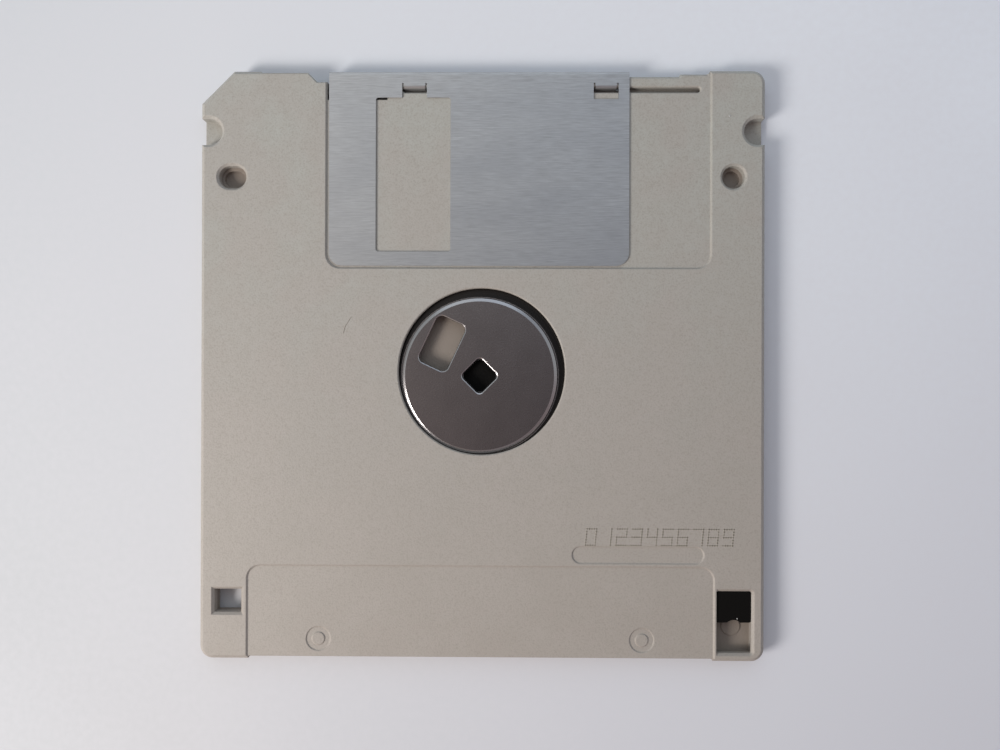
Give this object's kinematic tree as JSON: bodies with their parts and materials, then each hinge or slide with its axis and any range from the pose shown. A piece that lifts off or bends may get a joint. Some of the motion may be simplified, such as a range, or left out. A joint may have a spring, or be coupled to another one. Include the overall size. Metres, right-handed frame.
{
  "type": "floppy disk",
  "caption": "3.5-inch floppy disk in a hard beige case, hub side up, with a sprung sliding metal shutter, a turning steel hub and film disk, and a write-protect slider",
  "frame": {"origin": "centre of the case's outline, on the plane of the label-side face that it lies on", "axes": "+X across the case towards the write-protect slider, +Y towards the shutter edge, +Z out of the hub side"},
  "size_m": [0.09, 0.094, 0.0033],
  "materials": {
    "case_plastic": "fine matte moulded texture, warm grey-beige",
    "shutter_steel": "brushed across the case",
    "hub_steel": "matte pressed steel with a bright rim",
    "spring_wire": "drawn wire",
    "magnetic_film": "smooth dark brown coating",
    "adhesive": "thin glue film",
    "liner_fabric": "non-woven wiping fabric",
    "lifter_film": "thin polyester sheet",
    "pad_plastic": "black low-friction plastic",
    "slider_plastic": "black moulded plastic"
  },
  "bodies": {
    "case": {"hub_side_shell": "case_plastic", "label_side_shell": "case_plastic", "hub_side_liner": "liner_fabric", "label_side_liner": "liner_fabric", "lifter": "lifter_film", "wear_pad": "pad_plastic", "shutter_spring": "spring_wire"},
    "shutter_body": {"shutter": "shutter_steel"},
    "rotor": {"hub": "hub_steel", "hub_adhesive_ring": "adhesive", "magnetic_disk": "magnetic_film"},
    "slider_body": {"write_protect_slider": "slider_plastic"}
  },
  "joints": [
    {"name": "shutter_slide", "type": "slide", "parent": "case", "child": "shutter_body", "axis": [1, 0, 0], "range_m": [0, 0.0126], "stiffness_N_per_m": 27, "springref_m": -0.0093, "deforming": ["shutter_spring"]},
    {"name": "disk_spin", "type": "hinge", "parent": "case", "child": "rotor", "pos_m": [-0.00035, -0.0017, 0.00165], "axis": [0, 0, 1], "continuous": true},
    {"name": "write_protect_slide", "type": "slide", "parent": "case", "child": "slider_body", "axis": [0, -1, 0], "range_m": [0, 0.0046]}
  ]
}
